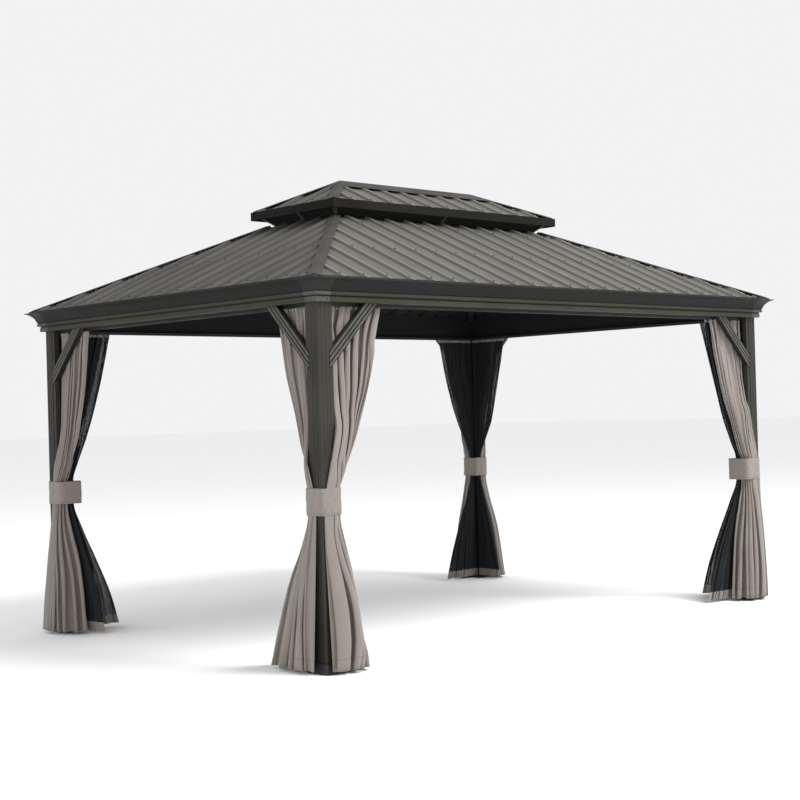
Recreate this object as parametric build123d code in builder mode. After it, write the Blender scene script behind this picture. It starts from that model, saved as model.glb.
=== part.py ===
"""A hardtop garden gazebo with a two-tier hipped roof, corner curtains and insect netting.

Four L-shaped aluminium posts stand on base plates and carry a cornice-shaped eave
gutter, made in two lengths a side and joined by corner pieces. Hip rafters and middle
rafters rise from the eave to a ring, and four ribbed steel sheets lie on them. A small
second roof stands on struts above the ring, so that air leaves between the two roofs.
At each corner two curtains and two nets hang from rails and are tied to the post.

Sizes are in millimetres. The origin is at the middle of the footprint on the ground,
+X runs along the long side, and the front is at -Y. Corner pieces are drawn at the
front left corner, at -X and -Y, and mirrored to the other three.
"""

import os
from math import cos, hypot, radians, sin, sqrt, tan

from build123d import *

# Overall sizes
eave_length = 4270
eave_width = 3030
eave_bottom = 2000
roof_pitch = 24.6

# Eave beam, seen from its end: a hollow box with a cornice in front and a gutter on top
beam_depth = 92
beam_wall = 3
cornice_reach = 75
cornice_height = 125
lower_band_height = 27
upper_band_height = 20
upper_band_reach = 14
band_groove = 6
groove_depth = 4
cove_sag = 11
lip_width = 5
gutter_floor = 68
corner_arm = 96
seam_gap = 1

# Roof sheets
sheet_inset = 26
sheet_seat = 120
sheet_thickness = 1.5
rib_pitch = 172
rib_height = 15
rib_base = 38
rib_top = 22
hip_gap = 6

# Corner posts
post_leg = 105
post_thickness = 37
post_wall = 3
post_setback = 25
post_corner_radius = 8
flange_width = 30
flange_step = 3
groove_width = 3
groove_places = (26, 52)

# Base plates with the upstand that covers the post's foot
base_margin = 10
base_reach = 160
base_thickness = 8
skirt_height = 60
skirt_wall = 4
skirt_lip = 5
anchor_spacing = 60
anchor_hole_radius = 6
anchor_from_post = 16

# Knee braces
brace_width = 68
brace_thickness = 30
brace_run = 265
brace_lap = 24
brace_rib = 8
brace_rib_height = 2
brace_rib_places = (12, 34, 56)

# Rafters and the ring at the top of the main roof
rafter_width = 40
rafter_height = 50
ring_width = 660
ring_bar = 75
ring_lap = 20
ring_height = 40

# Top roof
top_roof_width = 850
top_roof_gap = 45
fascia_height = 40
fascia_wall = 2
fascia_lip = 25
top_frame_bar = 25
top_frame_height = 18
strut_width = 25
strut_thickness = 12
strut_foot = 36
screen_thickness = 2

# Cap strips over hips and ridge
hip_cap_half = 32
ridge_cap_half = 130
cap_thickness = 1.5
cap_start = 14

# Curtain rails, one fabric track and one netting track on each side
rail_start = 108
rail_plate = 3
fabric_track = 52
net_track = 88
track_width = 14
track_height = 14
track_slot = 5
rail_margin = 4

# Curtains and netting, tied to the posts. Reaches are measured from the post's outer
# face along the front or the side of the gazebo: at the rail, at the foot of the braces
# and at the hem.
curtain_reaches = {"front": (470, 380, 350), "side": (370, 320, 420)}
net_reaches = {"front": (480, 400, 480), "side": (470, 380, 430)}
curtain_thickness = 34
net_thickness = 14
tie_bottom = 850
tie_height = 150
tie_reach = 138
tie_face = 10
tie_start = 25
bundle_gap = 2
net_bundle_depth = 20
hem_height = 18
hem_face = 70
hem_inner = 100
hem_step = 172
net_hem_depth = 45
band_thickness = 4
band_radius = 12

# Gap left between pieces that rest against each other
fit_gap = 0.2

# Worked out from the sizes above
half_length = eave_length / 2
half_width = eave_width / 2
ridge_half = half_length - half_width
slope = tan(radians(roof_pitch))
face_length = half_length - cornice_reach
face_width = half_width - cornice_reach
post_x = face_length - post_setback
post_y = face_width - post_setback
sheet_half_length = half_length - sheet_inset
sheet_half_width = half_width - sheet_inset
ring_half_width = ring_width / 2
ring_half_length = ring_half_width + ridge_half
sheet_run = sheet_half_width - ring_half_width
sheet_bottom_z = eave_bottom + sheet_seat
ring_sheet_z = sheet_bottom_z + sheet_run * slope
top_half_width = top_roof_width / 2
top_inset = fascia_wall + fit_gap
top_half_length = top_half_width + ridge_half
fascia_bottom_z = ring_sheet_z + top_roof_gap
top_sheet_z = fascia_bottom_z + fascia_height
brace_foot = eave_bottom - brace_width * sqrt(2) - brace_run
curtain_top = eave_bottom - rail_plate - track_height - fit_gap
tie_top = tie_bottom + tie_height
sheet_drop = sheet_thickness / cos(radians(roof_pitch)) + fit_gap

corners = {
    "front_left": (False, False),
    "front_right": (True, False),
    "back_left": (False, True),
    "back_right": (True, True),
}


def save(part, name):
    """Labels a finished piece and writes it as a STEP file."""
    part.label = name
    export_step(part, f"parts/{name}.step")


def flipped(part, flip_x, flip_y):
    """The piece mirrored across the gazebo's middle planes."""
    if flip_x:
        part = part.mirror(Plane.YZ)
    if flip_y:
        part = part.mirror(Plane.XZ)
    return part


def save_at_corners(parts, name):
    """Writes the front left corner's pieces for all four corners, a node to a corner."""
    for corner, flips in corners.items():
        pieces = [flipped(part, *flips) for part in parts]
        save(pieces[0] if len(pieces) == 1 else Compound(children=pieces), f"{name}_{corner}")


def save_all_corners(part, name):
    """Writes the same piece at all four corners as one node."""
    pieces = [flipped(part, *flips) for flips in corners.values()]
    save(Compound(children=pieces), name)


def across_diagonal(part):
    """The piece of a corner's other side: mirrored across the post's diagonal."""
    diagonal = Plane(origin=(-post_x, -post_y, 0), x_dir=(1, 1, 0), z_dir=(1, -1, 0))
    return part.mirror(diagonal)


def roof_z(distance):
    """Height of a main sheet's top face at a distance inward from the cornice tip."""
    return sheet_bottom_z + (distance - sheet_inset) * slope


def eave_section():
    """The eave beam's section: x is outward from the lower band's face, y is up."""
    upper_start = lower_band_height + band_groove
    upper_end = upper_start + upper_band_height
    cove_start = upper_end + band_groove
    tip = cornice_height - lip_width
    foot = (upper_band_reach, cove_start)
    crest = (cornice_reach - lip_width, tip)
    chord = hypot(crest[0] - foot[0], crest[1] - foot[1])
    radius = chord**2 / (8 * cove_sag) + cove_sag / 2
    across = ((crest[1] - foot[1]) / chord, -(crest[0] - foot[0]) / chord)
    middle = ((foot[0] + crest[0]) / 2, (foot[1] + crest[1]) / 2)
    centre = (
        middle[0] + across[0] * (radius - cove_sag),
        middle[1] + across[1] * (radius - cove_sag),
    )

    def on_wall(point, reach):
        """A point moved along its radius about the cove's centre."""
        length = hypot(point[0] - centre[0], point[1] - centre[1])
        share = reach / length
        return (
            centre[0] + (point[0] - centre[0]) * share,
            centre[1] + (point[1] - centre[1]) * share,
        )

    inner = radius + beam_wall
    web_top = roof_z(cornice_reach + beam_depth) - eave_bottom
    web_outer = web_top - beam_wall * slope - sheet_drop
    web_inner = web_top - sheet_drop
    with BuildSketch() as section:
        with BuildLine():
            Polyline(
                (-beam_depth, 0),
                (0, 0),
                (0, lower_band_height),
                (-groove_depth, lower_band_height),
                (-groove_depth, upper_start),
                (upper_band_reach, upper_start + groove_depth),
                (upper_band_reach, upper_end),
                (upper_band_reach - groove_depth, upper_end),
                (upper_band_reach - groove_depth, cove_start),
                foot,
            )
            ThreePointArc(foot, on_wall(middle, radius), crest)
            Polyline(
                crest,
                (cornice_reach, tip),
                (cornice_reach, cornice_height),
                (crest[0] - beam_wall, cornice_height),
                on_wall(crest, inner),
            )
            ThreePointArc(on_wall(crest, inner), on_wall(middle, inner), on_wall(foot, inner))
            Polyline(
                on_wall(foot, inner),
                (on_wall(foot, inner)[0], gutter_floor),
                (beam_wall - beam_depth, gutter_floor),
                (beam_wall - beam_depth, web_outer),
                (-beam_depth, web_inner),
                (-beam_depth, 0),
            )
        make_face()
        with BuildLine():
            Polyline(
                (beam_wall - beam_depth, beam_wall),
                (-groove_depth - beam_wall, beam_wall),
                (-groove_depth - beam_wall, gutter_floor - beam_wall),
                (beam_wall - beam_depth, gutter_floor - beam_wall),
                close=True,
            )
        make_face(mode=Mode.SUBTRACT)
    return section.sketch


def beam_half(face_half, face_offset):
    """Half an eave beam along +X, with its lower band's face at y = -face_offset."""
    start = Plane(
        origin=(seam_gap / 2, -face_offset, eave_bottom), x_dir=(0, -1, 0), z_dir=(-1, 0, 0)
    )
    with BuildPart() as beam:
        with BuildSketch(start):
            add(eave_section())
        extrude(amount=-(face_half - corner_arm - seam_gap - seam_gap / 2))
    return beam.part


def save_beams():
    """The eight lengths of eave beam, two to a side."""
    long_half = beam_half(face_length, face_width)
    short_half = beam_half(face_width, face_length).rotate(Axis.Z, -90)
    save(long_half.mirror(Plane.YZ), "eave_front_left")
    save(long_half, "eave_front_right")
    save(long_half.mirror(Plane.YZ).mirror(Plane.XZ), "eave_back_left")
    save(long_half.mirror(Plane.XZ), "eave_back_right")
    save(short_half, "eave_left_front")
    save(short_half.mirror(Plane.XZ), "eave_left_back")
    save(short_half.mirror(Plane.YZ), "eave_right_front")
    save(short_half.mirror(Plane.XZ).mirror(Plane.YZ), "eave_right_back")


def save_eave_corners():
    """Mitred corner pieces of the same section, between the beams."""
    mitre = Plane(
        origin=(-face_length, -face_width, eave_bottom), x_dir=(0, 0, 1), z_dir=(1, -1, 0)
    )
    arm_end = Plane(
        origin=(corner_arm - face_length, -face_width, eave_bottom),
        x_dir=(0, -1, 0),
        z_dir=(-1, 0, 0),
    )
    with BuildPart() as arm:
        with BuildSketch(arm_end):
            add(eave_section())
        extrude(amount=corner_arm + cornice_reach)
        split(bisect_by=mitre, keep=Keep.TOP)
    with BuildPart() as corner:
        add(arm.part)
        add(arm.part.mirror(mitre))
    save_all_corners(corner.part, "eave_corners")


def save_posts():
    """L-shaped hollow posts, with a stepped flange along each leg for the braces."""
    leg_step = post_leg - flange_width
    with BuildPart() as post:
        with BuildSketch(Plane.XY.offset(base_thickness)) as outline:
            with BuildLine():
                Polyline(
                    (0, 0),
                    (leg_step, 0),
                    (leg_step, flange_step),
                    (post_leg, flange_step),
                    (post_leg, post_thickness),
                    (post_thickness, post_thickness),
                    (post_thickness, post_leg),
                    (flange_step, post_leg),
                    (flange_step, leg_step),
                    (0, leg_step),
                    close=True,
                )
            make_face()
            fillet(outline.vertices().sort_by(SortBy.DISTANCE)[0], post_corner_radius)
            offset(amount=-post_wall, mode=Mode.SUBTRACT)
        extrude(amount=eave_bottom - base_thickness)
        with BuildSketch(Plane.XY.offset(base_thickness)):
            for place in groove_places:
                with Locations((place, 0)):
                    Rectangle(groove_width, 2 * post_wall / 3)
                with Locations((0, place)):
                    Rectangle(2 * post_wall / 3, groove_width)
        extrude(amount=eave_bottom - base_thickness, mode=Mode.SUBTRACT)
    save_at_corners([post.part.translate((-post_x, -post_y, 0))], "post")


def save_bases():
    """Base plates with anchor holes, and an upstand that hides the post's foot."""
    size = base_margin + base_reach
    middle = size / 2 - base_margin
    anchor_middle = post_thickness + anchor_from_post + anchor_spacing / 2
    with BuildPart() as base:
        with BuildSketch():
            with Locations((middle, middle)):
                RectangleRounded(size, size, post_corner_radius)
        extrude(amount=base_thickness)
        with BuildSketch(Plane.XY.offset(base_thickness)) as skirt:
            with BuildLine():
                Polyline(
                    (-base_margin, -base_margin),
                    (base_reach, -base_margin),
                    (base_reach, skirt_wall - base_margin),
                    (skirt_wall - base_margin, skirt_wall - base_margin),
                    (skirt_wall - base_margin, base_reach),
                    (-base_margin, base_reach),
                    close=True,
                )
            make_face()
            fillet(skirt.vertices().sort_by(Axis((0, 0, 0), (1, 1, 0)))[0], post_corner_radius)
        extrude(amount=skirt_height - base_thickness)
        with BuildSketch(Plane.XY.offset(skirt_height - skirt_lip)):
            with BuildLine():
                Polyline(
                    (skirt_wall / 2 - base_margin, skirt_wall / 2 - base_margin),
                    (base_reach, skirt_wall / 2 - base_margin),
                    (base_reach, -fit_gap),
                    (-fit_gap, -fit_gap),
                    (-fit_gap, base_reach),
                    (skirt_wall / 2 - base_margin, base_reach),
                    close=True,
                )
            make_face()
        extrude(amount=skirt_lip)
        with Locations((anchor_middle, anchor_middle, base_thickness)):
            with GridLocations(anchor_spacing, anchor_spacing, 2, 2):
                Hole(anchor_hole_radius, depth=base_thickness)
    save_at_corners([base.part.translate((-post_x, -post_y, 0))], "base")


def slope_box(face, start, low, depth):
    """A slanted bar between post and beam, drawn on a face and running inward by depth."""
    rise = brace_width * sqrt(2)
    reach = eave_bottom - rise - low
    with BuildPart() as bar:
        with BuildSketch(face):
            with BuildLine():
                Polyline(
                    (start, low),
                    (start, low + rise),
                    (start + reach, eave_bottom - fit_gap),
                    (start + reach + rise, eave_bottom - fit_gap),
                    close=True,
                )
            make_face()
        extrude(amount=-depth)
    return bar.part


def save_braces():
    """Ribbed knee braces between post and beam, whose face plates lap the post's flange."""
    rise = brace_width * sqrt(2)
    plate = flange_step - fit_gap
    face = Plane(origin=(-post_x, -post_y, 0), x_dir=(1, 0, 0), z_dir=(0, -1, 0))
    start = post_leg - brace_lap
    low = eave_bottom - rise - brace_run
    butt = post_leg + fit_gap
    with BuildPart() as brace:
        add(slope_box(face, start, low, plate))
        add(slope_box(face.offset(-plate), butt, low + butt - start, brace_thickness - plate))
        for place in brace_rib_places:
            bottom = low + place * sqrt(2)
            with BuildSketch(face):
                with BuildLine():
                    Polyline(
                        (start, bottom - brace_rib / sqrt(2)),
                        (start, bottom + brace_rib / sqrt(2)),
                        (
                            start + eave_bottom - fit_gap - bottom - brace_rib / sqrt(2),
                            eave_bottom - fit_gap,
                        ),
                        (
                            start + eave_bottom - fit_gap - bottom + brace_rib / sqrt(2),
                            eave_bottom - fit_gap,
                        ),
                        close=True,
                    )
                make_face()
            extrude(amount=brace_rib_height)
    save_at_corners([brace.part, across_diagonal(brace.part)], "braces")


def ribbed_sheet(half_span, half_depth, stop, eave_z):
    """A sheet for a roof's front slope, ribbed from eave to top and cut along both hips."""
    run_up = (0, cos(radians(roof_pitch)), sin(radians(roof_pitch)))
    eave = Plane(origin=(0, -half_depth, eave_z), x_dir=(-1, 0, 0), z_dir=run_up)
    rib_count = int((half_span - rib_base) // rib_pitch)
    upper = [(-half_span, 0)]
    for index in range(-rib_count, rib_count + 1):
        middle = index * rib_pitch
        upper += [
            (middle - rib_base / 2, 0),
            (middle - rib_top / 2, rib_height),
            (middle + rib_top / 2, rib_height),
            (middle + rib_base / 2, 0),
        ]
    upper.append((half_span, 0))
    lower = [(across, up - sheet_thickness) for across, up in reversed(upper)]
    left_hip = Plane(origin=(hip_gap - half_span, -half_depth, 0), z_dir=(1, -1, 0))
    right_hip = Plane(origin=(half_span - hip_gap, -half_depth, 0), z_dir=(-1, -1, 0))
    with BuildPart() as sheet:
        with BuildSketch(eave):
            with BuildLine():
                Polyline(*upper, *lower, close=True)
            make_face()
        extrude(amount=(half_depth - stop) / cos(radians(roof_pitch)))
        split(bisect_by=left_hip, keep=Keep.TOP)
        split(bisect_by=right_hip, keep=Keep.TOP)
    return sheet.part


def save_sheets():
    """Four sheets on the main roof and four on the top roof."""
    front = ribbed_sheet(sheet_half_length, sheet_half_width, ring_half_width, sheet_bottom_z)
    side = ribbed_sheet(sheet_half_width, sheet_half_length, ring_half_length, sheet_bottom_z)
    save(front, "roof_front")
    save(front.mirror(Plane.XZ), "roof_back")
    save(side.rotate(Axis.Z, -90), "roof_left")
    save(side.rotate(Axis.Z, 90), "roof_right")
    span = top_half_length - top_inset
    depth = top_half_width - top_inset
    top_front = ribbed_sheet(span, depth, hip_gap, top_sheet_z)
    top_side = ribbed_sheet(depth, span, ridge_half, top_sheet_z)
    save(top_front, "top_roof_front")
    save(top_front.mirror(Plane.XZ), "top_roof_back")
    save(top_side.rotate(Axis.Z, -90), "top_roof_left")
    save(top_side.rotate(Axis.Z, 90), "top_roof_right")


def under_sheet(distance):
    """Height just below a main sheet at a distance inward from the cornice tip."""
    return roof_z(distance) - sheet_drop


def save_rafters():
    """Hip rafters and middle rafters from the eave beams up to the ring."""
    foot = cornice_reach + beam_depth + fit_gap
    head = half_width - ring_half_width - ring_lap - fit_gap
    edge_fall = rafter_width / 2 / sqrt(2)
    hip_foot = foot + edge_fall
    corner = Plane(
        origin=(-half_length, -half_width, 0), x_dir=(1, 1, 0), z_dir=(1, -1, 0)
    )
    with BuildPart() as hip:
        with BuildSketch(corner):
            with BuildLine():
                Polyline(
                    (hip_foot * sqrt(2), under_sheet(hip_foot - edge_fall)),
                    (head * sqrt(2), under_sheet(head - edge_fall)),
                    (head * sqrt(2), under_sheet(head - edge_fall) - rafter_height),
                    (hip_foot * sqrt(2), under_sheet(hip_foot - edge_fall) - rafter_height),
                    close=True,
                )
            make_face()
        extrude(amount=rafter_width / 2, both=True)
    save_all_corners(hip.part, "hip_rafters")

    def middle_rafter(half_depth):
        """A rafter on the front slope's middle, its foot against the beam."""
        side = Plane(origin=(0, -half_depth, 0), x_dir=(0, 1, 0), z_dir=(1, 0, 0))
        with BuildPart() as rafter:
            with BuildSketch(side):
                with BuildLine():
                    Polyline(
                        (foot, under_sheet(foot)),
                        (head, under_sheet(head)),
                        (head, under_sheet(head) - rafter_height),
                        (foot, under_sheet(foot) - rafter_height),
                        close=True,
                    )
                make_face()
            extrude(amount=rafter_width / 2, both=True)
        return rafter.part

    front = middle_rafter(half_width)
    side = middle_rafter(half_length).rotate(Axis.Z, -90)
    pieces = [front, front.mirror(Plane.XZ), side, side.mirror(Plane.YZ)]
    save(Compound(children=pieces), "middle_rafters")


def band(section, span, depth):
    """A section carried round a rectangle of these half sizes, with mitred corners.

    The section's points are a distance inward from the rectangle and a height.
    """

    def side(half_span, half_depth):
        """The band's front run, cut at both ends by the corners' mitre planes."""
        run = Plane(origin=(half_span, -half_depth, 0), x_dir=(0, 1, 0), z_dir=(1, 0, 0))
        left_mitre = Plane(origin=(-half_span, -half_depth, 0), z_dir=(1, -1, 0))
        right_mitre = Plane(origin=(half_span, -half_depth, 0), z_dir=(-1, -1, 0))
        with BuildPart() as length:
            with BuildSketch(run):
                with BuildLine():
                    Polyline(*section, close=True)
                make_face()
            extrude(amount=-2 * half_span)
            split(bisect_by=left_mitre, keep=Keep.TOP)
            split(bisect_by=right_mitre, keep=Keep.TOP)
        return length.part

    front = side(span, depth)
    flank = side(depth, span)
    with BuildPart() as ring:
        add(front)
        add(front.mirror(Plane.XZ))
        add(flank.rotate(Axis.Z, -90))
        add(flank.rotate(Axis.Z, 90))
    return ring.part


def save_vent():
    """The ring, the top roof's frame, the leaning struts between them and the mesh."""
    ring_out = ring_half_width + ring_lap
    ring_top = under_sheet(half_width - ring_out)
    ring_bottom = ring_top - ring_height
    ring_section = [(0, ring_bottom), (ring_bar, ring_bottom), (ring_bar, ring_top), (0, ring_top)]
    save(band(ring_section, ring_out + ridge_half, ring_out), "vent_ring")
    frame_out = top_half_width - top_inset - fascia_lip - fit_gap
    frame_top = top_sheet_z + (fascia_lip + fit_gap) * slope - sheet_drop
    frame_bottom = frame_top - top_frame_height
    frame_section = [
        (0, frame_bottom),
        (top_frame_bar, frame_bottom),
        (top_frame_bar, frame_top + top_frame_bar * slope),
        (0, frame_top),
    ]
    save(band(frame_section, frame_out + ridge_half, frame_out), "top_frame")
    foot = ring_half_width - strut_foot
    head = frame_out - fit_gap
    lean = [
        (-foot, ring_top),
        (strut_thickness - foot, ring_top),
        (strut_thickness - head, frame_bottom),
        (-head, frame_bottom),
    ]
    diagonal = [(across * sqrt(2), up) for across, up in lean]
    with BuildPart() as middle:
        with BuildSketch(Plane(origin=(0, 0, 0), x_dir=(0, 1, 0), z_dir=(1, 0, 0))):
            with BuildLine():
                Polyline(*lean, close=True)
            make_face()
        extrude(amount=strut_width / 2, both=True)
    corner = Plane(origin=(-ridge_half, 0, 0), x_dir=(1, 1, 0), z_dir=(1, -1, 0))
    with BuildPart() as hip_strut:
        with BuildSketch(corner):
            with BuildLine():
                Polyline(*diagonal, close=True)
            make_face()
        extrude(amount=strut_width / 2, both=True)
    side = middle.part.rotate(Axis.Z, -90).translate((-ridge_half, 0, 0))
    struts = [middle.part, middle.part.mirror(Plane.XZ), side, side.mirror(Plane.YZ)]
    struts += [flipped(hip_strut.part, *flips) for flips in corners.values()]
    save(Compound(children=struts), "vent_struts")
    screen_out = head - strut_thickness - fit_gap
    mesh = [
        (head - foot, ring_top),
        (head - foot + screen_thickness, ring_top),
        (screen_thickness, frame_bottom),
        (0, frame_bottom),
    ]
    save(band(mesh, screen_out + ridge_half, screen_out), "vent_screen")


def save_fascia():
    """The band around the top roof, with a sloping lip that the sheets lie on."""
    lip = fascia_bottom_z + fascia_height - sheet_drop
    section = [
        (0, fascia_bottom_z),
        (fascia_wall, fascia_bottom_z),
        (fascia_wall, lip - fascia_wall),
        (top_inset + fascia_lip, lip - fascia_wall + fascia_lip * slope),
        (top_inset + fascia_lip, lip + fascia_lip * slope),
        (top_inset, lip),
        (fascia_wall, lip),
        (fascia_wall, fascia_bottom_z + fascia_height),
        (0, fascia_bottom_z + fascia_height),
    ]
    save(band(section, top_half_length, top_half_width), "top_fascia")


def hip_cap(half_span, half_depth, eave_z, first, last, half_width_of_cap):
    """A folded strip over the front left hip, between two insets from the sheets' corner."""
    hip_plane = Plane(origin=(-half_span, -half_depth, 0), x_dir=(0, 0, 1), z_dir=(1, -1, 0))
    normal = (0, -sin(radians(roof_pitch)), cos(radians(roof_pitch)))
    skin = Plane(origin=(-half_span, -half_depth, eave_z), x_dir=(1, 0, 0), z_dir=normal)
    along = (1, 1 / cos(radians(roof_pitch)))
    length = hypot(*along)
    inward = (along[1] / length, -along[0] / length)
    low = (first * along[0], first * along[1])
    high = (last * along[0], last * along[1])
    reach = half_width_of_cap
    with BuildPart() as wing:
        with BuildSketch(skin.offset(rib_height + fit_gap)):
            with BuildLine():
                Polyline(
                    (low[0] - reach * inward[0], low[1] - reach * inward[1]),
                    (low[0] + reach * inward[0], low[1] + reach * inward[1]),
                    (high[0] + reach * inward[0], high[1] + reach * inward[1]),
                    (high[0] - reach * inward[0], high[1] - reach * inward[1]),
                    close=True,
                )
            make_face()
        extrude(amount=cap_thickness)
        split(bisect_by=hip_plane, keep=Keep.TOP)
    with BuildPart() as cap:
        add(wing.part)
        add(wing.part.mirror(hip_plane))
    return cap.part


def save_caps():
    """Strips over the main hips, and one piece over the top roof's hips and ridge."""
    main_cap = hip_cap(
        sheet_half_length,
        sheet_half_width,
        sheet_bottom_z,
        cap_start,
        sheet_run - cap_start,
        hip_cap_half,
    )
    save_all_corners(main_cap, "hip_caps")
    ridge_z = top_sheet_z + (top_half_width - top_inset) * slope
    normal = (0, -sin(radians(roof_pitch)), cos(radians(roof_pitch)))
    skin = Plane(origin=(0, 0, ridge_z), x_dir=(1, 0, 0), z_dir=normal)
    corner_cap = hip_cap(
        top_half_length - top_inset,
        top_half_width - top_inset,
        top_sheet_z,
        cap_start,
        top_half_width - top_inset,
        hip_cap_half,
    )
    with BuildPart() as ridge:
        with BuildSketch(skin.offset(rib_height + fit_gap)):
            Rectangle(2 * (ridge_half + ridge_cap_half), 2 * ridge_cap_half)
        extrude(amount=cap_thickness)
        split(bisect_by=Plane.XZ, keep=Keep.TOP)
        split(bisect_by=Plane(origin=(-ridge_half, 0, 0), z_dir=(1, -1, 0)), keep=Keep.TOP)
        split(bisect_by=Plane(origin=(ridge_half, 0, 0), z_dir=(-1, -1, 0)), keep=Keep.TOP)
    with BuildPart() as caps:
        add(ridge.part)
        add(ridge.part.mirror(Plane.XZ))
        for flips in corners.values():
            add(flipped(corner_cap, *flips))
    save(caps.part, "top_caps")


def rail(length, post_line):
    """A front rail plate with a fabric track and a netting track below it."""
    half = length / 2
    plate_start = fabric_track - track_width / 2 - rail_margin
    plate_end = net_track + track_width / 2 + rail_margin
    section = Plane(
        origin=(-half, -post_line, eave_bottom), x_dir=(0, 1, 0), z_dir=(1, 0, 0)
    )
    slot_height = track_height / 2
    with BuildPart() as track:
        with BuildSketch(section):
            with Locations(((plate_start + plate_end) / 2, -rail_plate / 2)):
                Rectangle(plate_end - plate_start, rail_plate)
            for place in (fabric_track, net_track):
                with Locations((place, -rail_plate - track_height / 2)):
                    Rectangle(track_width, track_height)
                with Locations((place, -rail_plate - track_height + slot_height / 2)):
                    Rectangle(track_slot, slot_height, mode=Mode.SUBTRACT)
        extrude(amount=length)
    return track.part


def save_rails():
    """Curtain rails under the eave beams, from post to post."""
    front = rail(2 * (post_x - rail_start), post_y)
    side = rail(2 * (post_y - rail_start), post_x).rotate(Axis.Z, -90)
    pieces = [front, front.mirror(Plane.XZ), side, side.mirror(Plane.YZ)]
    save(Compound(children=pieces), "curtain_rails")


def between(lower, upper, lower_z, upper_z):
    """A flat-sided solid between two outlines with the same corners in the same order."""
    low = [Vector(across, along, lower_z) for across, along in lower]
    high = [Vector(across, along, upper_z) for across, along in upper]
    outlines = [low[::-1], high]
    for index in range(len(low)):
        outlines.append([low[index - 1], low[index], high[index], high[index - 1]])
    return Solid(Shell([Face(Wire.make_polygon(outline)) for outline in outlines]))


def oblong(left, right, front, back):
    """The four corners of a rectangle."""
    return [(left, front), (right, front), (right, back), (left, back)]


def hanging_curtain(top_reach, waist_reach, hem_reach):
    """A gathered curtain beside the post, tied outside its face and spread at the hem."""
    fabric_front = fabric_track - curtain_thickness / 2
    fabric_back = fabric_track + curtain_thickness / 2
    beside = post_leg + bundle_gap
    outside_base = -base_margin - bundle_gap
    hung = oblong(rail_start, top_reach, fabric_front, fabric_back)
    waisted = oblong(beside, waist_reach, fabric_front, fabric_back)
    gathered = oblong(beside, tie_reach, -tie_face, fabric_back)
    tied = [
        (tie_start, -tie_face),
        (tie_reach, -tie_face),
        (tie_reach, fabric_back),
        (beside, fabric_back),
        (beside, -bundle_gap),
        (tie_start, -bundle_gap),
    ]
    hem = [
        (tie_start, -hem_face),
        (hem_reach, -hem_face),
        (hem_reach, hem_inner),
        (hem_step, hem_inner),
        (hem_step, outside_base),
        (tie_start, outside_base),
    ]
    with BuildPart() as curtain:
        add(between(gathered, waisted, tie_top, brace_foot))
        add(between(waisted, hung, brace_foot, curtain_top))
        add(between(tied, tied, tie_bottom, tie_top))
        add(between(hem, tied, hem_height, tie_bottom))
    return curtain.part


def hanging_net(top_reach, waist_reach, hem_reach):
    """A net gathered behind the curtain and spread at the hem."""
    front = net_track - net_thickness / 2
    back = net_track + net_thickness / 2
    bundle_front = fabric_track + curtain_thickness / 2 + bundle_gap
    bundle_back = bundle_front + net_bundle_depth
    bundle = oblong(bundle_back + bundle_gap, tie_reach, bundle_front, bundle_back)
    waisted = oblong(rail_start, waist_reach, front, back)
    hung = oblong(rail_start, top_reach, front, back)
    hem_front = hem_inner + bundle_gap
    hem = oblong(hem_step, hem_reach, hem_front, hem_front + net_hem_depth)
    with BuildPart() as net:
        add(between(bundle, waisted, tie_top, brace_foot))
        add(between(waisted, hung, brace_foot, curtain_top))
        add(between(bundle, bundle, tie_bottom, tie_top))
        add(between(hem, bundle, hem_height, tie_bottom))
    return net.part


def save_hangings():
    """Curtains and nets on both sides of each corner, and the band that ties them."""
    for hang, reaches, name in (
        (hanging_curtain, curtain_reaches, "curtains"),
        (hanging_net, net_reaches, "nets"),
    ):
        front = hang(*reaches["front"]).translate((-post_x, -post_y, 0))
        side = hang(*reaches["side"]).translate((-post_x, -post_y, 0))
        save_at_corners([front, across_diagonal(side)], name)
    inner = tie_reach + fit_gap
    front = -tie_face - fit_gap
    middle = (inner + front) / 2
    with BuildPart() as tie:
        with BuildSketch(Plane.XY.offset(tie_bottom)):
            with Locations((middle, middle)):
                outer = inner - front + 2 * band_thickness
                RectangleRounded(outer, outer, band_radius)
                Rectangle(inner - front, inner - front, mode=Mode.SUBTRACT)
        extrude(amount=tie_height)
    save_all_corners(tie.part.translate((-post_x, -post_y, 0)), "tiebacks")


def main():
    """Builds every piece and writes it to parts/."""
    os.makedirs("parts", exist_ok=True)
    save_beams()
    save_eave_corners()
    save_posts()
    save_bases()
    save_braces()
    save_sheets()
    save_rafters()
    save_vent()
    save_fascia()
    save_caps()
    save_rails()
    save_hangings()


main()
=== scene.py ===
"""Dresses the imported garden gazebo: finishes, curtains, netting, ties, gliders and screws.

The row frame is the CAD's: metres, origin at the middle of the footprint on the ground, +X along
the long side, the front at -Y. Pieces that belong to a corner are worked out in that corner's own
plan: `along` runs from the post's outer corner down one side, `inward` runs from the post's outer
face towards the middle of the gazebo.
"""

import logging
import math
from collections.abc import Callable
from dataclasses import dataclass
from enum import Enum
from functools import partial

import bpy
import numpy as np
from mathutils import Matrix


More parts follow.
